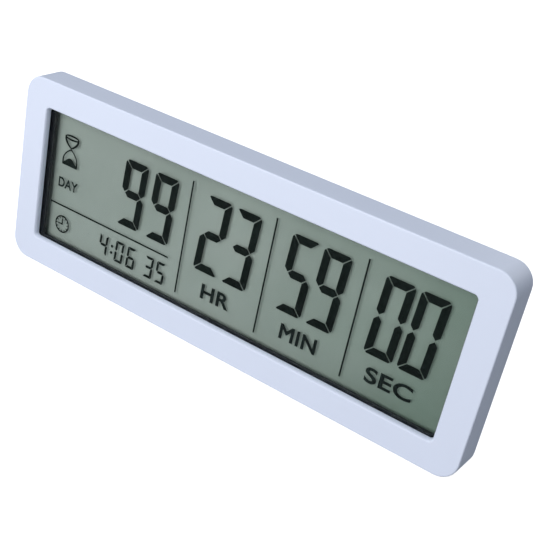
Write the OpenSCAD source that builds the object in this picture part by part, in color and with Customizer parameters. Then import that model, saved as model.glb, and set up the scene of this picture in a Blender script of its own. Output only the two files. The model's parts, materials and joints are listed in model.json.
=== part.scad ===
// Laboratory countdown timer: a wide, shallow plastic case with a segment display.
// The back carries six keys, two slide switches, a fold-out leg, two magnets,
// a hanging slot and a bay for two AAA cells under a sliding door.
// Row frame: +X to the display's right, +Y from the display to the back, +Z up,
// origin at the bottom centre of the case, leg folded and door shut.
// Inside the modules, y is the depth behind the front face and z is measured
// from the flat base; in_frame() moves the case's middle depth to the frame's origin.

/* [Case] */
// Width of the front face
body_w = 170; // [169:0.5:172]
// Height of the front face
body_h = 63.4; // [63.2:0.1:64.4]
// Depth of the front cover, which ends at the seam
front_depth = 10.4; // [10.2:0.1:10.6]
// Depth of the whole case
case_depth = 20; // [20:0.1:20.4]
// Corner radius of the front face
corner_r = 6.4; // [5.5:0.1:7]
// How far the front cover's top and side walls flare outwards on their way to the seam
flare = 0.4; // [0.2:0.05:0.6]
// Corner radius at the seam
seam_r = 6.2; // [5.5:0.1:7]
// Round on the front face's outer edge
front_edge_r = 0.5; // [0.3:0.1:0.7]
// Wall of the front cover
front_wall = 2; // [1.9:0.1:2.1]
// Wall of the rear cover
rear_wall = 1.8; // [1.6:0.1:1.9]
// Rim of the front cover that the rear cover drops into
rim = 1.3; // [1.1:0.1:1.4]
// Round on the rear face's edge
rear_edge_r = 1.2; // [0.8:0.1:1.5]
// Sideways lean of the rear cover's walls for each millimetre of depth
rear_slope = 0.45; // [0.42:0.01:0.46]

/* [Window] */
// Width of the window opening
window_w = 151.2; // [150.6:0.2:151.4]
// Height of the window opening
window_h = 44.8; // [44.4:0.2:45]
// Corner radius of the window opening
window_r = 1.2; // [0.8:0.1:1.5]
// Round on the window's front edge, across the face
lip_r = 0.8; // [0.5:0.1:1]
// Round on the window's front edge, into the depth
lip_round = 1.6; // [1:0.1:1.7]
// Thickness of the front plate around the window
lip_depth = 2; // [1.8:0.1:2.1]
// Thickness of the clear lens
lens_t = 1.2; // [1:0.1:1.3]

/* [Display] */
// Height of the large digits
digit_h = 24.9; // [24:0.1:25.2]
// Height of the day digits
day_h = 22.3; // [21:0.1:22.6]
// Width of the large digits
digit_w = 9.2; // [8.8:0.1:9.4]
// Stroke of the large digits
digit_stroke = 2.5; // [2.2:0.1:2.6]
// Sideways lean of all digits for each millimetre of height
digit_slant = 0.044; // [0:0.002:0.06]
// Distance between the three large columns
column_pitch = 30.7; // [30.4:0.1:30.8]

/* [Controls] */
// Radius of a key's cap
key_r = 3.9; // [3.5:0.1:4.2]
// Travel of a key
key_travel = 0.5; // [0.3:0.1:0.6]
// Distance between key columns
key_pitch_x = 16; // [15:0.5:16]
// Distance between key rows
key_pitch_z = 13; // [12.5:0.5:13.5]
// Travel of a slide switch's knob
knob_travel = 2.5; // [2:0.1:2.8]

/* [Leg] */
// Width of the fold-out leg
leg_w = 44; // [40:0.5:44]
// Thickness of the leg
leg_t = 2.2; // [2:0.1:2.2]
// Radius of the leg's steel pin
pin_r = 1; // [0.9:0.05:1]

/* [Battery] */
// Radius of one AAA cell
cell_r = 5.25; // [5.15:0.05:5.25]
// Length of one AAA cell with its terminal
cell_len = 44.5; // [44:0.1:44.5]

/* [Hidden] */

case_white = [0.88, 0.89, 0.96];
steel = [0.78, 0.79, 0.8];
gap = 0.1;                 // clearance between parts that only sit together
run = 0.05;                // radial clearance of parts that turn or slide
eps = 0.05;                // overshoot of a cut past a surface
far = 60;                  // overshoot of a cut that leaves the case
mid_z = body_h / 2;
rim_r = seam_r - rim;      // inner corner of the rim that holds the rear cover

// Depths of the layers, front to back
lens_y = lip_depth;
frame_y = lens_y + lens_t;
polariser_y = frame_y + 1.1;
glass_y = polariser_y + 0.15;
segment_y = glass_y + 0.45;
rear_glass_y = segment_y + 0.08;
reflector_y = segment_y + 0.95;
frame_end = polariser_y + 2.3;
board_y = 8.4;
board_t = 1;
parts_y = board_y + board_t;      // rear side of the board, where parts stand
rear_start = front_depth - 1;     // rear cover begins inside the front rim

// Display layout, in case coordinates
view_w = 150;                     // opening of the black frame
view_z = [9.4, 54.1];
glass_w = 155.6;
glass_z = [7.6, 55.8];
ledge = 1.4;                      // front glass beyond the rear glass, for contacts
first_column = -18.7;             // divider left of the hours
digit_z = 22.55;
day_x = -45.85;
day_pitch = 12.05;
day_z = 25.05;
digit_pitch = 10.7;
clock_z = 11.55;
clock_digit = [3.5, 7.4, 0.85];   // width, height and stroke of the clock digits

// Screw places: four corners and one beside the hanging slot hold the covers together
screw_x = 74;
slot_screw_x = 12;
screw_z = [4.5, body_h - 4.5];
case_screw_at = [[-screw_x, screw_z[0]], [screw_x, screw_z[0]],
                 [-screw_x, screw_z[1]], [slot_screw_x, screw_z[1]], [screw_x, screw_z[1]]];
board_screw_at = [[-40, screw_z[0]], [-40, screw_z[1]], [24, screw_z[1]], [56, screw_z[1]]];
boss_r = 2;
screw_shaft_r = 1;

// Controls
key_at = [for (row = [0, 1]) for (col = [0:2]) [-68 + col * key_pitch_x, 30 - row * key_pitch_z]];
knob_at = [[-50, 47.5], [-34, 47.5]];
panel_depth = 1.2;                // sunk areas around keys and knobs
panel_y = case_depth - panel_depth;
control_inner = panel_y - rear_wall;
control_top = case_depth - 0.2;   // keys and knobs stay just below the rear face
buzzer_at = [-60, 41.2];
switch_h = 3.5;
plunger_top = parts_y + 5;
magnet_at = [[-68, 50], [68, 50]];
magnet_r = 6;
magnet_t = 2.5;
hang_z = 52;                      // hanging slot
hang_head_r = 3.5;
hang_shank_r = 1.5;

// Leg
leg_axis = [case_depth - 2, 44.5];      // depth and height of the pin
leg_foot_z = 8.6;
leg_outer = case_depth - 0.2;
barrel_r = 1.9;

// Battery bay
bay_x = [26.5, 77.5];
bay_z = [15.8, 38.2];
bay_wall = 1.2;
bay_floor = 7.8;
plate_t = 0.35;                         // sheet metal of the contacts
spring_gap = 4.5;
cell_y = bay_floor + 0.15 + cell_r;
cell_at_z = [27 - 5.45, 27 + 5.45];
lower_x = bay_x[0] + plate_t + 1.25;    // inner ends of the two cells
upper_x = bay_x[0] + plate_t + spring_gap;
door_t = 1.35;
door_y = case_depth - door_t;
door_x = 24.6;
door_z = [14.8, 39.2];
tongue = 1;                             // door edge that runs under the cover
tongue_t = 0.6;

// ---------- shared shapes ----------

module in_frame() translate([0, -case_depth / 2, 0]) children();

// Rounded rectangle from one square pair and four circles, so its edges stay true
module rounded_rect(w, h, r) {
    square([w - 2 * r, h], center = true);
    square([w, h - 2 * r], center = true);
    for (sx = [-1, 1], sz = [-1, 1])
        translate([sx * (w / 2 - r), sz * (h / 2 - r)]) circle(r);
}

// Moves a flat shape into the XZ plane and gives it depth from y0 to y1
module deep(y0, y1) translate([0, y1, 0]) rotate([90, 0, 0]) linear_extrude(y1 - y0) children();

module plate(x, z, w, h, r, y0, y1)
    deep(y0, y1) translate([x, z]) rounded_rect(w, h, r, $fn = 48);

module block(x, z, y)
    translate([x[0], y[0], z[0]]) cube([x[1] - x[0], y[1] - y[0], z[1] - z[0]]);

module rod(at, r, y0, y1)
    translate([at[0], y1, at[1]]) rotate([90, 0, 0]) cylinder(h = y1 - y0, r = r, $fn = 48);

// Points of a rounded rectangle at depth y, each corner an arc of 8 steps; lift raises its middle
function ring(y, w, h, r, lift = 0) = [
    for (q = [0:3]) for (i = [0:8])
        let (a = 90 * q + 11.25 * i,
             x = (q == 0 || q == 3 ? 1 : -1) * (w / 2 - r),
             z = (q < 2 ? 1 : -1) * (h / 2 - r))
        [x + r * cos(a), y, mid_z + lift + z + r * sin(a)]];

// Closed skin over a row of rings, front to back
module loft(rings) {
    m = len(rings[0]);
    last = (len(rings) - 1) * m;
    walls = [for (j = [0:len(rings) - 2]) for (k = [0:m - 1])
        let (a = j * m + k, b = j * m + (k + 1) % m) [a, b, b + m, a + m]];
    polyhedron([for (each_ring = rings) each each_ring],
               concat([[for (k = [m - 1:-1:0]) k]], walls, [[for (k = [0:m - 1]) last + k]]),
               convexity = 4);
}

// A round tube of radius r along a smooth path, with flat ends
module tube_along(path, r, sides = 8) {
    n = len(path) - 1;
    points = [for (i = [0:n])
        let (d = path[min(n, i + 1)] - path[max(0, i - 1)],
             t = d / norm(d),
             u0 = cross(t, [0.31, 0.17, 0.94]), u = u0 / norm(u0), v = cross(t, u))
        for (k = [0:sides - 1]) path[i] + r * (u * cos(360 * k / sides) + v * sin(360 * k / sides))];
    walls = [for (i = [0:n - 1]) for (k = [0:sides - 1])
        let (a = i * sides + k, b = i * sides + (k + 1) % sides)
        each [[a, a + sides, b + sides], [a, b + sides, b]]];
    polyhedron(points, concat([[for (k = [0:sides - 1]) k]], walls,
               [[for (k = [sides - 1:-1:0]) n * sides + k]]), convexity = 6);
}

function bezier(a, b, c, d, t) =
    a * pow(1 - t, 3) + 3 * b * t * pow(1 - t, 2) + 3 * c * (1 - t) * t * t + d * pow(t, 3);

// ---------- front cover and display ----------

// Front cover's outer skin: a rounded front edge, then a flat base and three walls that flare
function front_rings() = concat(
    [for (i = [0:4])
        let (a = 90 - 22.5 * i, inset = front_edge_r * (1 - cos(a)))
        ring(front_edge_r * (1 - sin(a)), body_w - 2 * inset, body_h - 2 * inset, corner_r - inset)],
    [ring(front_depth, body_w + 2 * flare, body_h + flare, seam_r, flare / 2)]);

// Space of the window: its front edge is rounded into the front plate
function window_rings() = concat(
    [for (i = [0:5])
        let (a = 90 - 18 * i, grow = lip_r * (1 - cos(a)), y = lip_round * (1 - sin(a)))
        ring(i == 0 ? -eps : y, window_w + 2 * grow, window_h + 2 * grow, window_r + grow)],
    [ring(lip_depth + eps, window_w, window_h, window_r)]);

module front_cover() color(case_white) in_frame() difference() {
    union() {
        difference() {
            loft(front_rings());
            plate(0, mid_z, body_w - 2 * front_wall, body_h - 2 * front_wall,
                  corner_r - front_wall, lip_depth, front_depth + 1);
            plate(0, mid_z, body_w + 2 * (flare - rim), body_h + 2 * (flare - rim),
                  rim_r, rear_start, front_depth + 1);
            loft(window_rings());
        }
        for (p = case_screw_at) rod(p, boss_r, lip_depth - eps, rear_start);
        for (p = board_screw_at) rod(p, boss_r, lip_depth - eps, board_y);
    }
    for (p = case_screw_at) rod(p, screw_shaft_r + 0.02, 3.6, rear_start + eps);
    for (p = board_screw_at) rod(p, screw_shaft_r + 0.02, 3.6, board_y + eps);
}

module display_lens() color("white", 0.25) in_frame()
    plate(0, mid_z, window_w + 4, window_h + 3.4, 2, lens_y, lens_y + lens_t);

module display_frame() color([0.05, 0.05, 0.07]) in_frame() difference() {
    plate(0, mid_z, glass_w + 2.4, glass_z[1] - glass_z[0] + 2, 1.2, frame_y, frame_end);
    plate(0, (view_z[0] + view_z[1]) / 2, view_w, view_z[1] - view_z[0], 0.5,
          frame_y - 1, frame_end + 1);
    block([-glass_w / 2 - gap, glass_w / 2 + gap], [glass_z[0] - gap, glass_z[1] + gap],
          [polariser_y, frame_end + 1]);
}

module front_polariser() color([0.75, 0.8, 0.76], 0.4) in_frame()
    block([-glass_w / 2 + 1, glass_w / 2 - 1], [glass_z[0] + 0.8, glass_z[1] - 0.9],
          [polariser_y, glass_y]);

module front_glass() color([0.8, 0.86, 0.84], 0.4) in_frame()
    block([-glass_w / 2, glass_w / 2], glass_z, [glass_y, segment_y]);

module rear_glass() color([0.8, 0.86, 0.84], 0.4) in_frame()
    block([-glass_w / 2, glass_w / 2], [glass_z[0], glass_z[1] - ledge],
          [rear_glass_y, reflector_y - gap]);

module reflector() color([0.53, 0.58, 0.54]) in_frame()
    block([-glass_w / 2 + 1, glass_w / 2 - 1], [glass_z[0] + 0.6, glass_z[1] - ledge - 0.2],
          [reflector_y, reflector_y + 0.2]);

function flip_x(points, w) = [for (p = points) [w - p[0], p[1]]];
function flip_y(points, h) = [for (p = points) [p[0], h - p[1]]];

// Outline of one bar of a seven-bar digit: a is the top bar, then clockwise, g is the middle
function bar(name, w, h, s) =
    let (m = h / 2, g = s * 0.095, e = s * 0.14, k = s * 0.44,
         top = [[g + e, h - e], [k, h], [w - k, h], [w - g - e, h - e],
                [w - s - g, h - s], [s + g, h - s]],
         side = [[0, h - k], [e, h - g - e], [s, h - s - g], [s, m + s / 2 + g],
                 [s / 2, m + g], [0, m + s / 2 + g]],
         middle = [[s / 2 + g, m], [s + g, m + s / 2], [w - s - g, m + s / 2],
                   [w - s / 2 - g, m], [w - s - g, m - s / 2], [s + g, m - s / 2]])
    name == "a" ? top
    : name == "b" ? flip_x(side, w)
    : name == "c" ? flip_x(flip_y(side, h), w)
    : name == "d" ? flip_y(top, h)
    : name == "e" ? flip_y(side, h)
    : name == "f" ? side
    : middle;

lit_bars = ["abcdef", "bc", "abged", "abgcd", "fgbc", "afgcd", "afgedc", "abc", "abcdefg", "abcdfg"];

module digit(value, x, z, size)
    for (name = lit_bars[value]) translate([x, z])
        polygon([for (p = bar(name, size[0], size[1], size[2])) [p[0] + digit_slant * p[1], p[1]]]);

// Half-width of the hourglass, from its neck (s = 0) to its flat end (s = 1)
function bulb_half(s, r) = 0.1 + (r - 0.1) * pow(sin(90 * min(1, s / 0.7)), 0.8);

module bulb(r, height, inset)
    polygon(concat(
        [for (i = [0:12]) [max(0.02, bulb_half(i / 12, r) - inset), i / 12 * height]],
        [for (i = [12:-1:0]) [-max(0.02, bulb_half(i / 12, r) - inset), i / 12 * height]]));

module ring_outline(rx, ry, stroke) difference() {
    polygon([for (a = [0:15:345]) [rx * cos(a), ry * sin(a)]]);
    polygon([for (a = [0:15:345]) [(rx - stroke) * cos(a), (ry - stroke) * sin(a)]]);
}

module hourglass_icon(stroke = 0.6) translate([-68.1, 42]) {
    difference() {
        union() {
            mirror([0, 1]) bulb(3.3, 6, 0);
            intersection() {
                bulb(3.1, 4.6, 0);
                translate([-4, 0]) square([8, 3.9]);
            }
        }
        mirror([0, 1]) translate([0, 0.55]) bulb(3.3 - stroke, 5.45 - stroke, 0);
        translate([0, 0.55]) bulb(3.1 - stroke, 5, 0);
    }
    translate([0, 3.75]) ring_outline(3.1, 0.95, stroke);
    polygon(concat([[-2.7, -5.7], [2.7, -5.7]],
                   [for (x = [2.6:-0.65:-2.6]) [x, -4.9 + 1.7 * pow(cos(x / 2.6 * 90), 1.3)]]));
}

module clock_icon(r = 3.1, stroke = 0.5) translate([-68.45, 15.15]) {
    difference() {
        circle(r, $fn = 64);
        circle(r - stroke, $fn = 64);
    }
    for (a = [0:30:330]) rotate(a) translate([r - stroke - 0.5, -0.17]) square([0.6, 0.34]);
    translate([-0.24, -0.24]) square([0.48, 2.2]);
    translate([-1.8, -0.24]) square([1.7, 0.48]);
}

module display_segments() color([0.03, 0.05, 0.05]) in_frame()
    deep(segment_y, rear_glass_y) {
        big = [digit_w, digit_h, digit_stroke];
        values = [[2, 3], [5, 9], [0, 0]];
        for (c = [0:2]) {
            x = first_column + c * column_pitch;
            translate([x - 0.27, 11.45]) square([0.54, 38]);
            for (k = [0, 1]) digit(values[c][k], x + 5 + k * digit_pitch, digit_z, big);
        }
        for (k = [0, 1])
            digit(9, day_x + k * day_pitch, day_z, [digit_w, day_h, digit_stroke]);
        digit(4, -51.7, clock_z, clock_digit);
        digit(0, -44.8, clock_z, clock_digit);
        digit(6, -39.8, clock_z, clock_digit);
        digit(3, -32.3, clock_z, clock_digit);
        digit(5, -27.5, clock_z, clock_digit);
        for (z = [13.9, 16.2]) translate([-46.1, z]) circle(0.5, $fn = 24);
        translate([-74.5, 21.4]) square([51, 0.5]);
        hourglass_icon();
        clock_icon();
    }

module contact_strip() color([0.85, 0.45, 0.55]) in_frame()
    block([-68, 68], [glass_z[1] - ledge + 0.1, glass_z[1] - 0.1], [segment_y, board_y]);

// ---------- board and its parts ----------

module circuit_board() color([0.12, 0.42, 0.2]) in_frame() difference() {
    deep(board_y, parts_y) {
        translate([-80, 46]) square([160, 14.6]);
        translate([-80, 3]) square([54, 44]);
    }
    for (p = case_screw_at) rod(p, boss_r + 0.3, board_y - 1, parts_y + 1);
    for (p = board_screw_at) rod(p, screw_shaft_r + 0.1, board_y - 1, parts_y + 1);
}

module driver_chip() color([0.06, 0.06, 0.06]) in_frame()
    translate([-14, parts_y, 53]) rotate([-90, 0, 0])
        rotate_extrude($fn = 64) intersection() {
            translate([0, -8]) circle(9.6, $fn = 64);
            square([6, 3]);
        }

module crystal() color(steel) in_frame()
    translate([10, parts_y + 1.05, 50]) rotate([0, 90, 0]) {
        cylinder(h = 6, r = 1, $fn = 32);
        for (side = [-0.4, 0.4]) translate([0, side, 5.9]) cylinder(h = 2, r = 0.15, $fn = 16);
    }

module chip_capacitors() color([0.72, 0.6, 0.42]) in_frame()
    for (i = [0:4]) translate([28 + i * 4.2, parts_y, 50]) cube([2, 0.9, 1.25]);

module chip_resistors() color([0.1, 0.1, 0.12]) in_frame()
    for (i = [0:5]) translate([28 + i * 4.2, parts_y, 54]) cube([2, 0.5, 1.25]);

module buzzer() color([0.08, 0.08, 0.09]) in_frame() difference() {
    rod(buzzer_at, 4.4, parts_y, parts_y + 5.5);
    rod(buzzer_at, 1, parts_y + 4, parts_y + 6);
}

module key_switches() color([0.2, 0.2, 0.22]) in_frame() for (p = key_at) difference() {
    plate(p[0], p[1], 6, 6, 0.5, parts_y, parts_y + switch_h);
    rod(p, 1.7 + run, parts_y + 1.4, parts_y + switch_h + 1);
}

module slide_switches() color(steel) in_frame() for (p = knob_at) difference() {
    plate(p[0], p[1], 9.4, 3.6, 0.3, parts_y, parts_y + switch_h);
    block([p[0] - 1.2 - knob_travel / 2, p[0] + 1.2 + knob_travel / 2],
          [p[1] - 0.85, p[1] + 0.85], [parts_y + 1.2, parts_y + switch_h + 1]);
}

// A pan-head screw with a cross recess, head up at y_head, pointing to the front
module screw(at, y_head, length, head_r, head_t) difference() {
    union() {
        rod(at, screw_shaft_r, y_head - length, y_head);
        rod(at, head_r, y_head, y_head + head_t);
    }
    for (turn = [0, 90]) translate([at[0], y_head + head_t, at[1]]) rotate([0, turn + 20, 0])
        cube([head_r * 1.2, head_t, 0.5], center = true);
}

module board_screws() color(steel) in_frame()
    for (p = board_screw_at) screw(p, parts_y, 5, 1.6, 0.8);

// ---------- rear cover ----------

// Sloped housing from y0 to y1 that ends in a rounded edge; shrink draws every side in
module housing(y0, y1, shrink) {
    lean = atan(rear_slope);
    y_round = y1 - rear_edge_r * (1 - sin(lean));
    margin = flare - rim - gap - shrink;
    r = rim_r - shrink;
    loft(concat(
        [for (y = [y0, front_depth]) ring(y, body_w + 2 * margin, body_h + 2 * margin, r)],
        [for (i = [0:5])
            let (a = lean + (90 - lean) * i / 5,
                 drawn = margin - rear_slope * (y_round - front_depth)
                         - rear_edge_r * (cos(lean) - cos(a)))
            ring(y1 - rear_edge_r * (1 - sin(a)), body_w + 2 * drawn, body_h + 2 * drawn, r)]));
}

// Solid places inside the housing: around the leg, the bay, the controls,
// the magnets and the screw wells
module inner_blocks() {
    block([-leg_w / 2 - 4.5, leg_w / 2 + 4.5], [leg_foot_z - 2, leg_axis[1] + 4.5], [14.6, far]);
    block([door_x - 1.2, far + 60], [door_z[0] - tongue - 1.2, door_z[1] + tongue + 1.2],
          [door_y - 1.6, far]);
    block([bay_x[0] - bay_wall, far + 60], [bay_z[0] - bay_wall, bay_z[1] + bay_wall],
          [front_depth, far]);
    block([-78.5, -27], [8, 52], [control_inner, far]);
    for (p = magnet_at) rod(p, magnet_r + 1.6, case_depth - magnet_t - 1.6, far);
    for (p = case_screw_at) rod(p, 3.4, rear_start - 1, far);
}

module keyhole(y0, y1) {
    rod([0, hang_z], hang_head_r, y0, y1);
    rod([0, hang_z + 4.2], hang_shank_r, y0, y1);
    block([-hang_shank_r, hang_shank_r], [hang_z, hang_z + 4.2], [y0, y1]);
}

module leg_recess() {
    half = leg_w / 2 + 0.3;
    block([-half, half], [leg_foot_z - 0.4, leg_axis[1] + 2.5], [leg_outer - leg_t - 0.2, far]);
    translate([-half, leg_axis[0], leg_axis[1]]) rotate([0, 90, 0])
        cylinder(h = 2 * half, r = barrel_r + 0.2, $fn = 48);
    translate([-half - 3.05, leg_axis[0], leg_axis[1]]) rotate([0, 90, 0])
        cylinder(h = 2 * half + 6.1, r = pin_r + 0.02, $fn = 48);
    plate(0, 7, 20, 9, 4.4, case_depth - 2.2, far);      // finger scoop
}

module door_opening() {
    block([door_x - gap, far + 60], [door_z[0] - gap, door_z[1] + gap], [door_y - run, far]);
    block([door_x - gap, far + 60], [door_z[0] - tongue - gap, door_z[1] + tongue + gap],
          [door_y - run, door_y + tongue_t + run]);
}

module control_openings() {
    plate(-52, 23.5, 47, 29, 3, panel_y, far);
    for (p = key_at) rod(p, key_r + gap, control_inner - 1, far);
    for (p = knob_at) {
        plate(p[0], p[1], 13, 6.4, 2, panel_y, far);
        block([p[0] - 1.95 - knob_travel / 2, p[0] + 1.95 + knob_travel / 2],
              [p[1] - 1.35, p[1] + 1.35], [control_inner - 1, far]);
    }
    rod(buzzer_at, 0.6, control_inner - 1, far);
    for (a = [0:60:300])
        rod([buzzer_at[0] + 2 * cos(a), buzzer_at[1] + 2 * sin(a)], 0.5, control_inner - 1, far);
}

module rear_cover() color(case_white) in_frame() difference() {
    union() {
        difference() {
            housing(rear_start, case_depth, 0);
            difference() {
                housing(rear_start - 1, case_depth - rear_wall, rear_wall);
                inner_blocks();
            }
        }
        block([bay_x[0] - bay_wall, bay_x[1] + bay_wall], [bay_z[0] - bay_wall, bay_z[1] + bay_wall],
              [bay_floor - 1, front_depth + 2]);
    }
    block(bay_x, bay_z, [bay_floor, far]);
    for (z = cell_at_z) block([bay_x[0] - 2, bay_x[0] + 1], [z - 1.5, z + 1.5], [8.8, 9.6]);
    door_opening();
    leg_recess();
    control_openings();
    for (p = magnet_at) rod(p, magnet_r + gap, case_depth - magnet_t - gap, far);
    keyhole(case_depth - rear_wall - 1, far);
    for (p = case_screw_at) {
        rod(p, screw_shaft_r + 0.15, rear_start - 1, far);
        rod(p, 2.3, 12.6, far);
    }
}

module case_screws() color(steel) in_frame()
    for (p = case_screw_at) screw(p, 12.6, 8, 1.9, 1.3);

module magnets() color([0.7, 0.71, 0.73]) in_frame()
    for (p = magnet_at) rod(p, magnet_r, case_depth - magnet_t, case_depth);

module leg_pin() color(steel) in_frame()
    translate([-leg_w / 2 - 3.2, leg_axis[0], leg_axis[1]]) rotate([0, 90, 0])
        cylinder(h = leg_w + 6.4, r = pin_r, $fn = 48);

module leg() color(case_white) in_frame() difference() {
    union() {
        deep(leg_outer - leg_t, leg_outer) {
            translate([-leg_w / 2, leg_foot_z + 5]) square([leg_w, leg_axis[1] - leg_foot_z - 5]);
            translate([0, leg_foot_z + 6]) rounded_rect(leg_w, 12, 4, $fn = 48);
        }
        translate([-leg_w / 2, leg_axis[0], leg_axis[1]]) rotate([0, 90, 0])
            cylinder(h = leg_w, r = barrel_r, $fn = 48);
    }
    translate([-leg_w, leg_axis[0], leg_axis[1]]) rotate([0, 90, 0])
        cylinder(h = 2 * leg_w, r = pin_r + run, $fn = 48);
    plate(0, 26.5, leg_w - 12, 20, 3, leg_outer - 0.8, leg_outer + 1);   // sunk field
    for (z = [11:1.6:14.2]) block([-7, 7], [z, z + 0.7], [leg_outer - 0.4, leg_outer + 1]);
}

// ---------- battery ----------

module battery_door() color(case_white) in_frame() difference() {
    union() {
        translate([0, 0, door_z[0]]) linear_extrude(door_z[1] - door_z[0])
            polygon([[door_x, door_y], [80.1, door_y], [79.9, door_y + 0.5],
                     [79.3, case_depth - 0.25], [78.6, case_depth], [door_x, case_depth]]);
        block([door_x, 79.4], [door_z[0] - tongue, door_z[1] + tongue], [door_y, door_y + tongue_t]);
    }
    difference() {
        plate(66, 27, 12, 14, 2, case_depth - 0.7, case_depth + 1);      // thumb pad
        for (x = [62:2:70]) block([x - 0.4, x + 0.4], [21.5, 32.5], [door_y, case_depth - 0.2]);
    }
}

// One cell from x0 on, with its raised terminal at the far end, or at x0 when turned
module cell(x0, z, turned) {
    translate([x0 + cell_len / 2, cell_y, z]) rotate([0, turned ? -90 : 90, 0])
        translate([0, 0, -cell_len / 2]) {
            cylinder(h = cell_len - 0.9, r = cell_r, $fn = 64);
            cylinder(h = cell_len, r = 1.9, $fn = 32);
        }
}

module upper_cell() color([0.2, 0.45, 0.3]) in_frame() cell(upper_x, cell_at_z[1], false);

module lower_cell() color([0.2, 0.45, 0.3]) in_frame() cell(lower_x, cell_at_z[0], true);

// Contact plate on one of the bay's end walls
module contact_plate(x, z)
    block([x, x + plate_t], [z - 4.2, z + 4.2], [8.4, 17.6]);

// Tail of a contact, out through the bay's wall
module contact_tail(z)
    block([bay_x[0] - 4, bay_x[0] + plate_t], [z - 1.3, z + 1.3], [9, 9.35]);

// Raised pad that meets a cell's terminal
module contact_pad(x0, x1, z)
    translate([x0, cell_y, z]) rotate([0, 90, 0]) cylinder(h = x1 - x0, r = 2.2, $fn = 32);

// Conical coil from a plate at x0 to a cell at x1
module coil(x0, x1, z) {
    turns = 4;
    steps = 14 * turns;
    tube_along([for (i = [0:steps])
        let (s = i / steps, a = 360 * turns * s, r = 3.6 - 1.7 * s)
        [x0 + (x1 - x0) * s, cell_y + r * cos(a), z + r * sin(a)]], 0.35, 6);
}

module positive_contact() color(steel) in_frame() {
    contact_plate(bay_x[0], cell_at_z[0]);
    contact_tail(cell_at_z[0]);
    contact_pad(bay_x[0], lower_x, cell_at_z[0]);
}

module negative_contact() color(steel) in_frame() {
    contact_plate(bay_x[0], cell_at_z[1]);
    contact_tail(cell_at_z[1]);
    coil(bay_x[0] + plate_t + 0.2, upper_x - 0.4, cell_at_z[1]);
}

module bridge_contact() color(steel) in_frame() {
    x = bay_x[1] - plate_t;
    for (z = cell_at_z) contact_plate(x, z);
    block([x, x + plate_t], cell_at_z, [11, 15]);
    coil(x - 0.2, lower_x + cell_len + 0.4, cell_at_z[0]);
    contact_pad(upper_x + cell_len, x + plate_t, cell_at_z[1]);
}

// Insulated lead from a contact's tail to the rear side of the board
module lead(z, x_board) {
    r = 0.55;
    start = [bay_x[0] - 4 - r, 9.2, z];
    end = [x_board, parts_y + 0.15, 49];
    tube_along([for (i = [0:16]) bezier(start, start + [-4, 3, 3], end + [0, 4, 0], end, i / 16)],
               r, 8);
}

module positive_wire() color([0.75, 0.08, 0.06]) in_frame() lead(cell_at_z[0], 20.5);

module negative_wire() color([0.06, 0.06, 0.06]) in_frame() lead(cell_at_z[1], 24);

// ---------- keys and knobs ----------

// Key with a dished top, a flange that keeps it in and a stem down to its plunger
module key(index) color([0.86, 0.87, 0.94]) in_frame() {
    at = key_at[index];
    dish_r = 15;
    difference() {
        rod(at, key_r, control_inner - 1, control_top);
        translate([at[0], control_top + dish_r - 0.4, at[1]]) sphere(r = dish_r, $fn = 96);
    }
    rod(at, key_r + 1, control_inner - 1, control_inner - run);
    rod(at, 1.7, plunger_top, control_inner - 1);
}

module plunger(index) color([0.1, 0.1, 0.1]) in_frame()
    rod(key_at[index], 1.7, parts_y + 1.4 + key_travel + gap, plunger_top);

module day_key() key(0);
module hour_key() key(1);
module minute_key() key(2);
module second_key() key(3);
module start_stop_key() key(4);
module clear_key() key(5);
module day_plunger() plunger(0);
module hour_plunger() plunger(1);
module minute_plunger() plunger(2);
module second_plunger() plunger(3);
module start_stop_plunger() plunger(4);
module clear_plunger() plunger(5);

// Knob at the left end of its travel, with a post that moves the switch's slider
module knob(at) color([0.2, 0.21, 0.24]) in_frame() difference() {
    x = at[0] - knob_travel / 2;
    union() {
        block([x - 1.8, x + 1.8], [at[1] - 1.25, at[1] + 1.25], [control_inner - run, control_top]);
        block([x - 4.6, x + 4.6], [at[1] - 2.4, at[1] + 2.4],
              [control_inner - 1, control_inner - run]);
        block([x - 1.1, x + 1.1], [at[1] - 0.8, at[1] + 0.8], [parts_y + 1.4, control_inner - 1]);
    }
    for (i = [-1, 0, 1])
        block([x + i * 1.1 - 0.2, x + i * 1.1 + 0.2], [at[1] - 2, at[1] + 2],
              [control_top - 0.4, control_top + 1]);
}

module direction_knob() knob(knob_at[0]);
module clock_knob() knob(knob_at[1]);

front_cover();
display_lens();
display_frame();
front_polariser();
front_glass();
display_segments();
rear_glass();
reflector();
contact_strip();
circuit_board();
driver_chip();
crystal();
chip_capacitors();
chip_resistors();
buzzer();
key_switches();
slide_switches();
board_screws();
rear_cover();
case_screws();
magnets();
leg_pin();
leg();
battery_door();
upper_cell();
lower_cell();
positive_contact();
negative_contact();
bridge_contact();
positive_wire();
negative_wire();
day_key();
hour_key();
minute_key();
second_key();
start_stop_key();
clear_key();
day_plunger();
hour_plunger();
minute_plunger();
second_plunger();
start_stop_plunger();
clear_plunger();
direction_knob();
clock_knob();
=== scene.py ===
"""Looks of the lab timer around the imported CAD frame. Lengths are in metres unless a name ends in mm."""

import json
import math

import bmesh
import bpy
from mathutils import Matrix, Vector

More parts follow.
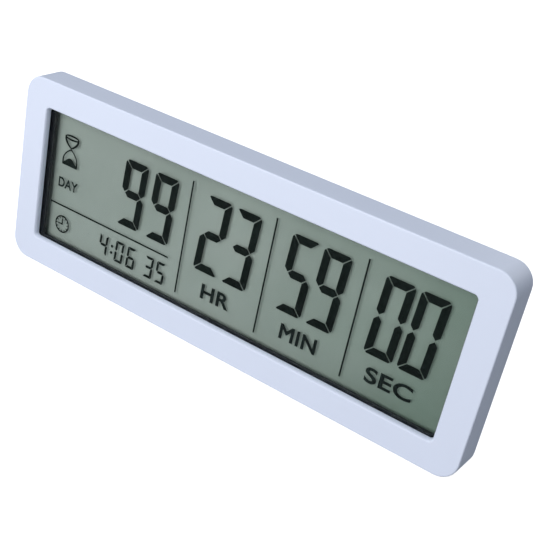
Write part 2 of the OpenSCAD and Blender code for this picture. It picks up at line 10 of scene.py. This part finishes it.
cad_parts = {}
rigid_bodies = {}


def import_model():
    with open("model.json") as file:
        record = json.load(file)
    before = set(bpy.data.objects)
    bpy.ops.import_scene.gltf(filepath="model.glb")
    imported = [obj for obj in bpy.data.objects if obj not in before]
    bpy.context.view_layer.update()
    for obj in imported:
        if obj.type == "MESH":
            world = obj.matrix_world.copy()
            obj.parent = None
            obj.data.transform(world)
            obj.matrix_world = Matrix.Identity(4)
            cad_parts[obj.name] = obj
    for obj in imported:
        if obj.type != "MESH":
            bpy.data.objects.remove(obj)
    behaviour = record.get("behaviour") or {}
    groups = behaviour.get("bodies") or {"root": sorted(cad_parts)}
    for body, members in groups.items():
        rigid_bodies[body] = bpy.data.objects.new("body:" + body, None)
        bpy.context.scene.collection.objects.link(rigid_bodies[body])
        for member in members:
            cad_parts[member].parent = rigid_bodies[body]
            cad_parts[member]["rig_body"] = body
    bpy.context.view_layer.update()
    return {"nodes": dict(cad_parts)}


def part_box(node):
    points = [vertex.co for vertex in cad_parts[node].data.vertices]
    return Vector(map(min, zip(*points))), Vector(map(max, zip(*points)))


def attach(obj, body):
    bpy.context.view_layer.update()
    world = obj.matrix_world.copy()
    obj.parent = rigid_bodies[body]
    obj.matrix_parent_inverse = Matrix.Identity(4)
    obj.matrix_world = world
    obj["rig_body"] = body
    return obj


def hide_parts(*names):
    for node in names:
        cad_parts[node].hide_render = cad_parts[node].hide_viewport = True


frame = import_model()
MM = 0.001
PRINT_MM = 0.04         # thickness of printing on the glass
CLEAR_MM = 0.005        # bars and printing stay this far off the glass faces, so that no two faces coincide
SAME_PLACE = 1e-6       # vertices nearer to each other than this are one
FLAT_DEGREES = 0.3      # faces that differ by less than this become one
CREASE_DEGREES = 32     # edges sharper than this stay crisp in the shading
EASED_DEGREES = 40      # outer edges sharper than this get eased
SHADOW_KEPT = 0.3       # part of a full shadow that the bars cast on the film behind them
STROKE_MORE = 0.024     # how much the unit words' strokes grow, in parts of the letter size

# Places that the looks are worked out from
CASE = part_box("front_cover")
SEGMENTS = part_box("display_segments")


# ---------- node helpers ----------

class Nodes:
    """A material and short calls to add and join its nodes."""

    def __init__(self, name):
        self.material = bpy.data.materials.new(name)
        self.material.use_nodes = True
        self.tree = self.material.node_tree
        self.tree.nodes.clear()
        self.output = self.tree.nodes.new("ShaderNodeOutputMaterial")
        self.place = self.tree.nodes.new("ShaderNodeTexCoord").outputs["Object"]

    def add(self, kind, settings=(), **inputs):
        """A node: settings are its own properties; inputs, by name, are values or other nodes' outputs."""
        node = self.tree.nodes.new(kind)
        for key, value in dict(settings).items():
            setattr(node, key, value)
        for key, value in inputs.items():
            self.feed(node.inputs[key.replace("_", " ")], value)
        return node

    def feed(self, socket, value):
        """Gives an input a value, or joins another node's output to it."""
        if isinstance(value, bpy.types.NodeSocket):
            self.tree.links.new(value, socket)
        elif isinstance(value, (tuple, list)) and len(value) == 3 and socket.type == "RGBA":
            socket.default_value = (*value, 1)
        else:
            socket.default_value = value

    def noise(self, scale, detail=3, roughness=0.5, at=None):
        return self.add("ShaderNodeTexNoise", Vector=at or self.place, Scale=scale,
                        Detail=detail, Roughness=roughness).outputs["Fac"]

    def stretched(self, x, y, z):
        """The object's coordinates, scaled differently along each axis."""
        return self.add("ShaderNodeMapping", Vector=self.place, Scale=(x, y, z)).outputs["Vector"]

    def fit(self, value, low, high, from_low=0.3, from_high=0.7):
        """value, moved from one range to another and kept inside it."""
        node = self.add("ShaderNodeMapRange", Value=value)
        limits = {"From Min": from_low, "From Max": from_high, "To Min": low, "To Max": high}
        for key, number in limits.items():
            node.inputs[key].default_value = number
        return node.outputs["Result"]

    def blend(self, fac, a, b, kind="MIX"):
        """Two colours mixed. The Mix node keeps its colour sockets at these places."""
        first, second, result = 6, 7, 2
        node = self.add("ShaderNodeMix", settings={"data_type": "RGBA", "blend_type": kind})
        self.feed(node.inputs[0], fac)
        self.feed(node.inputs[first], a)
        self.feed(node.inputs[second], b)
        return node.outputs[result]

    def math(self, operation, a, b=0.0):
        node = self.add("ShaderNodeMath", settings={"operation": operation})
        self.feed(node.inputs[0], a)
        self.feed(node.inputs[1], b)
        return node.outputs[0]

    def bump(self, height, distance, strength=1.0):
        node = self.add("ShaderNodeBump", Height=height, Distance=distance, Strength=strength)
        return node.outputs["Normal"]

    def principled(self, color, roughness, normal=None, **more):
        shader = self.add("ShaderNodeBsdfPrincipled", Roughness=roughness, **more)
        self.feed(shader.inputs["Base Color"], color)
        if normal is not None:
            self.feed(shader.inputs["Normal"], normal)
        return shader.outputs[0]

    def clear(self, color=(1, 1, 1)):
        return self.add("ShaderNodeBsdfTransparent", Color=color).outputs[0]

    def fade(self, fac, a, b):
        """One shader faded into another."""
        node = self.add("ShaderNodeMixShader")
        for socket, value in zip(node.inputs, (fac, a, b)):
            self.feed(socket, value)
        return node.outputs[0]

    def show(self, shader):
        """Ends the material in a shader."""
        self.feed(self.output.inputs["Surface"], shader)
        return self.material

    def surface(self, color, roughness, normal=None, **more):
        """Ends the material in a Principled surface."""
        return self.show(self.principled(color, roughness, normal, **more))


def along(nodes, axis):
    """One coordinate of the object, in metres."""
    return nodes.add("ShaderNodeSeparateXYZ", Vector=nodes.place).outputs[axis]


# ---------- materials ----------

def moulded_plastic(name, color, roughness=0.42, grain=0.012):
    """Injection-moulded plastic: a fine spark-eroded grain, faint flow shading and handling marks."""
    n = Nodes(name)
    flow = n.fit(n.noise(18, 4), 0, 1)
    tint = n.blend(flow, tuple(0.985 * c for c in color), tuple(min(1, 1.01 * c) for c in color))
    grain_height = n.math("ADD", n.noise(5200, 2), n.math("MULTIPLY", n.noise(900, 2), 0.6))
    marks = n.fit(n.noise(130, 5, 0.65), roughness - 0.04, roughness + 0.06)
    return n.surface(tint, marks, n.bump(grain_height, grain * MM), IOR=1.49)


def inner_sheet(name, tint):
    """Glass or film inside the display stack: it only tints what lies behind, unevenly by a hair."""
    n = Nodes(name)
    color = n.blend(n.fit(n.noise(30, 2), 0, 1), tint, tuple(0.99 * c for c in tint))
    return n.show(n.clear(color))


def clear_lens(name, tint, polish=(0.02, 0.037), ior=1.28, wave=0.02):
    """A clear sheet: light passes straight through, with a reflection that grows at a slant."""
    n = Nodes(name)
    gloss = n.add("ShaderNodeBsdfGlossy", Roughness=n.fit(n.noise(40, 3), *polish),
                  Normal=n.bump(n.noise(22, 2), wave * MM))
    slant = n.add("ShaderNodeFresnel", IOR=ior).outputs[0]
    backfacing = n.add("ShaderNodeNewGeometry").outputs["Backfacing"]
    front_only = n.math("MULTIPLY", slant, n.math("SUBTRACT", 1.0, backfacing))
    return n.show(n.fade(front_only, n.clear(tint), gloss.outputs[0]))


def display_ground(name):
    """Reflecting film behind the glass: grey-green, with painted shade that turns it greener and darker to
    the right, and faint painted reflection patches.
    """
    # Painted shade: the film is lighter at the left and greener and darker at the right.
    left, right = (0.385, 0.412, 0.392), (0.215, 0.275, 0.235)
    lateness, reach, painted_reflection_strength = 3.2, 0.9, 0.16
    n = Nodes(name)
    across = n.fit(along(n, "X"), 0, 1, SEGMENTS[0].x, SEGMENTS[1].x)
    # Painted reflection: soft lighter and darker patches of noise stand in for reflections on the film.
    painted_reflection_patches = n.noise(26, 2, 0.4, at=n.stretched(1, 1, 1.6))
    painted_shade_to_the_right = n.math("MULTIPLY", n.math("POWER", across, lateness), reach)
    shift = n.math("ADD", painted_shade_to_the_right, n.math("MULTIPLY", n.fit(painted_reflection_patches, -1, 1), painted_reflection_strength))
    color = n.blend(shift, left, right)
    sparkle = n.fit(n.noise(6000, 1), 0.96, 1.03)
    grey = n.add("ShaderNodeCombineColor", Red=sparkle, Green=sparkle, Blue=sparkle).outputs[0]
    graded = n.blend(1.0, color, grey, "MULTIPLY")
    return n.surface(graded, 0.5, n.bump(n.noise(3000, 2), 0.01 * MM))


def display_ink(name, color):
    """Switched-on bars and printing between the two glasses, with only part of a full shadow."""
    n = Nodes(name)
    tint = n.blend(n.fit(n.noise(60, 2), 0, 1), color, tuple(1.7 * c for c in color))
    solid = n.principled(tint, 0.6, Specular_IOR_Level=0.04)
    is_shadow = n.add("ShaderNodeLightPath").outputs["Is Shadow Ray"]
    let_through = n.math("MULTIPLY", is_shadow, 1.0 - SHADOW_KEPT)
    return n.show(n.fade(let_through, solid, n.clear()))


def metal(name, color, roughness=0.3, streak=(1, 1, 1)):
    """Plated metal with fine streaks and slight dulling."""
    streak_mm = 0.004
    n = Nodes(name)
    lines = n.noise(900, 4, 0.6, at=n.stretched(*streak))
    dull = n.fit(n.noise(420, 4), roughness - 0.03, roughness + 0.05)
    tint = n.blend(n.fit(n.noise(90, 3), 0, 1), tuple(0.94 * c for c in color), color)
    return n.surface(tint, dull, n.bump(lines, streak_mm * MM), Metallic=1.0)


def circuit_laminate(name):
    """Green solder mask with copper runs that show through as lighter raised lines."""
    mask, over_copper = (0.012, 0.11, 0.035), (0.03, 0.21, 0.07)
    n = Nodes(name)
    cells = n.add("ShaderNodeTexVoronoi", settings={"feature": "DISTANCE_TO_EDGE", "distance": "CHEBYCHEV"},
                  Vector=n.place, Scale=420.0)
    runs = n.fit(cells.outputs["Distance"], 1, 0, 0.04, 0.07)
    color = n.blend(runs, mask, over_copper)
    return n.surface(color, n.fit(n.noise(300, 3), 0.22, 0.36), n.bump(runs, 0.03 * MM))


def layered_rubber(name):
    """Connector strip: thin dark layers across a soft pink block."""
    pink, carbon = (0.45, 0.16, 0.2), (0.05, 0.04, 0.045)
    n = Nodes(name)
    wave = n.add("ShaderNodeTexWave", settings={"bands_direction": "X"}, Vector=n.place, Scale=900.0)
    color = n.blend(n.fit(wave.outputs["Fac"], 0, 1, 0.4, 0.6), pink, carbon)
    return n.surface(color, 0.6, n.bump(n.noise(2500, 2), 0.01 * MM))


def cell_sleeve(name, middle_x, positive_side):
    """Plain shrink sleeve of a cell: blue-grey, pale towards the positive end, bare metal at both ends."""
    band_mm, line_mm, sleeve_half_mm = 9.5, (8.4, 9.0), 21.2
    blue_grey, lighter = (0.085, 0.13, 0.19), (0.095, 0.145, 0.21)
    band_color, line_color, bare_metal = (0.40, 0.42, 0.44), (0.6, 0.6, 0.58), (0.62, 0.62, 0.6)
    n = Nodes(name)
    x = n.math("MULTIPLY", n.math("SUBTRACT", along(n, "X"), middle_x), positive_side)
    band = n.math("GREATER_THAN", x, band_mm * MM)
    after_line = n.math("GREATER_THAN", x, line_mm[0] * MM)
    line = n.math("MULTIPLY", after_line, n.math("LESS_THAN", x, line_mm[1] * MM))
    body = n.blend(n.fit(n.noise(60, 3), 0, 1), blue_grey, lighter)
    color = n.blend(line, n.blend(band, body, band_color), line_color)
    ends = n.math("GREATER_THAN", n.math("ABSOLUTE", x), sleeve_half_mm * MM)
    wrinkles = n.bump(n.noise(300, 4, 0.6, at=n.stretched(0.3, 1, 1)), 0.03 * MM)
    sleeve = n.principled(color, n.fit(n.noise(140, 3), 0.22, 0.34), wrinkles)
    can = n.principled(bare_metal, 0.3, Metallic=1.0)
    return n.show(n.fade(ends, sleeve, can))


def soft_insulation(name, color):
    """Matt insulation of a lead, slightly darker in places."""
    n = Nodes(name)
    tint = n.blend(n.fit(n.noise(400, 3), 0, 1), color, tuple(0.8 * c for c in color))
    return n.surface(tint, n.fit(n.noise(700, 2), 0.4, 0.55), n.bump(n.noise(2500, 2), 0.01 * MM))


def paint(obj, material):
    """Gives an object one material in place of those it has."""
    obj.data.materials.clear()
    obj.data.materials.append(material)


# ---------- pieces ----------

def smooth_by_angle(obj):
    """Smooth shading, kept crisp at sharp edges, with large faces left flat."""
    for face in obj.data.polygons:
        face.use_smooth = True
    obj.data.set_sharp_from_angle(angle=math.radians(CREASE_DEGREES))
    modifier = obj.modifiers.new("even_normals", "WEIGHTED_NORMAL")
    modifier.keep_sharp = True


def moulded(node, edge_mm, steps=2):
    """A piece that stands for a CAD node: the same solid, with its outer edges eased as by a mould."""
    source = frame["nodes"][node]
    mesh = bpy.data.meshes.new(node + "_moulded")
    bm = bmesh.new()
    bm.from_mesh(source.data)
    bmesh.ops.remove_doubles(bm, verts=bm.verts, dist=SAME_PLACE)
    bmesh.ops.dissolve_limit(bm, angle_limit=math.radians(FLAT_DEGREES), verts=bm.verts, edges=bm.edges)
    least = math.radians(EASED_DEGREES)
    eased = [e for e in bm.edges if len(e.link_faces) == 2 and e.is_convex and e.calc_face_angle(0) > least]
    bmesh.ops.bevel(bm, geom=eased, offset=edge_mm * MM, offset_type="OFFSET", segments=steps,
                    profile=0.5, affect="EDGES", clamp_overlap=True)
    bm.to_mesh(mesh)
    bm.free()
    piece = bpy.data.objects.new(node + "_moulded", mesh)
    bpy.context.scene.collection.objects.link(piece)
    smooth_by_angle(piece)
    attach(piece, source["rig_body"])
    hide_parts(node)
    return piece


def clear_of_glass(obj):
    """Draws every face of the display's bars in by a hair, so that none lies in a face of the glasses."""
    weld = obj.modifiers.new("joined", "WELD")
    weld.merge_threshold = SAME_PLACE
    inset = obj.modifiers.new("clearance", "DISPLACE")
    inset.mid_level = 0
    inset.strength = -2 * CLEAR_MM * MM


def label(text, x_mm, z_mm):
    """A generic unit word printed on the display in Blender's plain typeface.

    It fits the x and z ranges, in millimetres of the case. A flat bevel grows each stroke evenly, and
    the result is pressed to the print's thickness."""
    curve = bpy.data.curves.new("label_" + text, "FONT")
    curve.body = text
    curve.bevel_depth = STROKE_MORE
    curve.bevel_resolution = 0
    curve.space_character = 1 + 2 * STROKE_MORE
    holder = bpy.data.objects.new("holder_" + text, curve)
    bpy.context.scene.collection.objects.link(holder)
    bpy.context.view_layer.update()
    evaluated = holder.evaluated_get(bpy.context.evaluated_depsgraph_get())
    mesh = bpy.data.meshes.new_from_object(evaluated)
    bpy.data.objects.remove(holder)
    xs = [v.co.x for v in mesh.vertices]
    ys = [v.co.y for v in mesh.vertices]
    wide = (x_mm[1] - x_mm[0]) * MM / (max(xs) - min(xs))
    tall = (z_mm[1] - z_mm[0]) * MM / (max(ys) - min(ys))
    thick = PRINT_MM * MM / (2 * STROKE_MORE)
    for v in mesh.vertices:
        v.co = Vector((x_mm[0] * MM + (v.co.x - min(xs)) * wide,
                       SEGMENTS[0].y + CLEAR_MM * MM + (STROKE_MORE - v.co.z) * thick,
                       CASE[0].z + z_mm[0] * MM + (v.co.y - min(ys)) * tall))
    bm = bmesh.new()
    bm.from_mesh(mesh)
    bmesh.ops.remove_doubles(bm, verts=bm.verts, dist=SAME_PLACE)
    bmesh.ops.recalc_face_normals(bm, faces=bm.faces)
    bm.to_mesh(mesh)
    bm.free()
    piece = bpy.data.objects.new("label_" + text.lower(), mesh)
    bpy.context.scene.collection.objects.link(piece)
    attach(piece, "case")
    return piece


CASE_WHITE = (0.74, 0.79, 0.93)

front_plastic = moulded_plastic("front_plastic", CASE_WHITE)
back_plastic = moulded_plastic("back_plastic", tuple(0.98 * c for c in CASE_WHITE), 0.46, 0.016)
black_plastic = moulded_plastic("black_plastic", (0.010, 0.013, 0.018), 0.38)
key_plastic = moulded_plastic("key_plastic", (0.66, 0.70, 0.82), 0.34, 0.006)
knob_plastic = moulded_plastic("knob_plastic", (0.045, 0.048, 0.06), 0.4)
steel = metal("plated_steel", (0.68, 0.69, 0.70))
nickel = metal("magnet_nickel", (0.70, 0.70, 0.71), 0.24, (1, 1, 6))
ink = display_ink("display_ink", (0.004, 0.007, 0.006))
print_ink = display_ink("label_ink", (0.008, 0.013, 0.012))

PLAIN = {
    "display_frame": black_plastic,
    "display_lens": clear_lens("clear_lens", (0.985, 0.99, 0.995)),
    "front_polariser": inner_sheet("polariser", (0.975, 0.985, 0.975)),
    "front_glass": inner_sheet("front_glass_clear", (0.99, 0.995, 0.99)),
    "rear_glass": inner_sheet("rear_glass_clear", (0.99, 0.995, 0.99)),
    "reflector": display_ground("display_ground"),
    "display_segments": ink,
    "contact_strip": layered_rubber("layered_rubber"),
    "circuit_board": circuit_laminate("circuit_laminate"),
    "driver_chip": moulded_plastic("black_epoxy", (0.008, 0.008, 0.008), 0.25),
    "crystal": steel,
    "chip_capacitors": moulded_plastic("chip_ceramic", (0.34, 0.22, 0.12), 0.35),
    "chip_resistors": moulded_plastic("chip_resistor_black", (0.012, 0.012, 0.014), 0.3),
    "buzzer": black_plastic,
    "key_switches": black_plastic,
    "slide_switches": steel,
    "board_screws": steel,
    "case_screws": steel,
    "leg_pin": steel,
    "positive_contact": steel,
    "negative_contact": steel,
    "bridge_contact": steel,
    "positive_wire": soft_insulation("red_lead", (0.42, 0.012, 0.01)),
    "negative_wire": soft_insulation("black_lead", (0.012, 0.012, 0.012)),
}
for node, material in PLAIN.items():
    paint(frame["nodes"][node], material)
for node in frame["nodes"]:
    if node.endswith("_plunger"):
        paint(frame["nodes"][node], black_plastic)

for node, side in (("upper_cell", 1), ("lower_cell", -1)):     # the two cells lie opposite ways round
    low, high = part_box(node)
    piece = moulded(node, 0.5, 3)
    paint(piece, cell_sleeve(node + "_sleeve", (low.x + high.x) / 2, side))

paint(moulded("front_cover", 0.12), front_plastic)
paint(moulded("rear_cover", 0.15), back_plastic)
paint(moulded("leg", 0.25), back_plastic)
paint(moulded("battery_door", 0.2), back_plastic)
paint(moulded("magnets", 0.25, 3), nickel)
for node in [n for n in frame["nodes"] if n.endswith("_key")]:
    paint(moulded(node, 0.12), key_plastic)
for node in ("direction_knob", "clock_knob"):
    paint(moulded(node, 0.15), knob_plastic)

clear_of_glass(frame["nodes"]["display_segments"])

# Where the unit words stand, measured from the middle and the bottom of the front cover
UNIT_Z_MM = (13.87, 18.93)
DAY_Z_MM = (27.95, 31.35)
for word, x_mm, z_mm in (("HR", (-9.15, 1.65), UNIT_Z_MM),
                         ("MIN", (20.6, 33.4), UNIT_Z_MM),
                         ("SEC", (50.1, 65.3), UNIT_Z_MM),
                         ("DAY", (-72.0, -63.6), DAY_Z_MM)):
    paint(label(word, x_mm, z_mm), print_ink)


# ---------- stage ----------

def floor():
    """A pale floor: nearly white to the camera, but it throws back less light, as under a small set."""
    size, glow_strength = 6.0, 0.8
    to_the_set, to_the_camera = (0.37, 0.38, 0.39), (0.9, 0.9, 0.91)
    mesh = bpy.data.meshes.new("floor")
    corners = [(-size, -size, 0), (size, -size, 0), (size, size, 0), (-size, size, 0)]
    mesh.from_pydata(corners, [], [(0, 1, 2, 3)])
    obj = bpy.data.objects.new("floor", mesh)
    bpy.context.scene.collection.objects.link(obj)
    n = Nodes("pale_floor")
    seen = n.add("ShaderNodeLightPath").outputs["Is Camera Ray"]
    diffuse = n.add("ShaderNodeBsdfDiffuse", Color=n.blend(seen, to_the_set, to_the_camera))
    glow = n.add("ShaderNodeEmission", Color=(1, 1, 1), Strength=n.math("MULTIPLY", seen, glow_strength))
    both = n.add("ShaderNodeAddShader")
    n.feed(both.inputs[0], diffuse.outputs[0])
    n.feed(both.inputs[1], glow.outputs[0])
    paint(obj, n.show(both.outputs[0]))


def softbox(name, place, size, watts):
    """A square lamp that faces the middle of the timer."""
    middle = Vector((0, 0, 0.03))
    lamp = bpy.data.lights.new(name, "AREA")
    lamp.shape = "SQUARE"
    lamp.size = size
    lamp.energy = watts
    obj = bpy.data.objects.new(name, lamp)
    bpy.context.scene.collection.objects.link(obj)
    obj.location = place
    obj.rotation_euler = (middle - Vector(place)).to_track_quat("-Z", "Y").to_euler()


def camera():
    """Camera on a sphere round its target: azimuth turns from the front towards +X, then the view rolls.

    The angles, distance and lens were fitted to the object's outline in the photo."""
    azimuth, elevation, roll = (math.radians(a) for a in (28.30, 25.25, 12.48))
    distance, aim_right, aim_up = 0.2760, 0.01775, 0.03508
    target = Vector((aim_right, CASE[0].y, CASE[0].z + aim_up))
    back = Vector((math.sin(azimuth) * math.cos(elevation), -math.cos(azimuth) * math.cos(elevation),
                   math.sin(elevation)))
    level = Vector((math.cos(azimuth), math.sin(azimuth), 0))
    upright = back.cross(level)
    right = level * math.cos(roll) + upright * math.sin(roll)
    up = back.cross(right)
    lens = bpy.data.cameras.new("camera")
    lens.lens = 63.38
    lens.sensor_width = 36
    lens.clip_start = 0.01
    obj = bpy.data.objects.new("camera", lens)
    bpy.context.scene.collection.objects.link(obj)
    turned = Matrix((right, up, back)).transposed().to_4x4()
    obj.matrix_world = Matrix.Translation(target + back * distance) @ turned
    bpy.context.scene.camera = obj


def world():
    """Soft light from all round, stronger overhead than near the horizon; the camera itself sees it pale."""
    light_color, at_horizon, overhead, to_the_camera = (0.90, 0.97, 1.06, 1), 0.14, 0.60, 1.1
    scene_world = bpy.data.worlds.new("studio")
    bpy.context.scene.world = scene_world
    scene_world.use_nodes = True
    tree = scene_world.node_tree
    background = tree.nodes["Background"]
    background.inputs["Color"].default_value = light_color
    height = tree.nodes.new("ShaderNodeSeparateXYZ")
    tree.links.new(tree.nodes.new("ShaderNodeTexCoord").outputs["Generated"], height.inputs[0])
    strength = tree.nodes.new("ShaderNodeMapRange")
    strength.inputs["To Min"].default_value = at_horizon
    strength.inputs["To Max"].default_value = overhead
    tree.links.new(height.outputs["Z"], strength.inputs["Value"])
    seen = tree.nodes.new("ShaderNodeMix")
    tree.links.new(tree.nodes.new("ShaderNodeLightPath").outputs["Is Camera Ray"], seen.inputs["Factor"])
    tree.links.new(strength.outputs["Result"], seen.inputs["A"])
    seen.inputs["B"].default_value = to_the_camera
    tree.links.new(seen.outputs["Result"], background.inputs["Strength"])


floor()
softbox("key_light", place=(-0.16, -0.62, 0.22), size=0.5, watts=3.75)
softbox("back_light", place=(0.15, 1.25, 0.2), size=0.8, watts=6)
camera()
world()
bpy.context.scene.view_settings.view_transform = "Standard"
bpy.context.scene.cycles.transparent_max_bounces = 32     # each clear sheet of the display has two faces
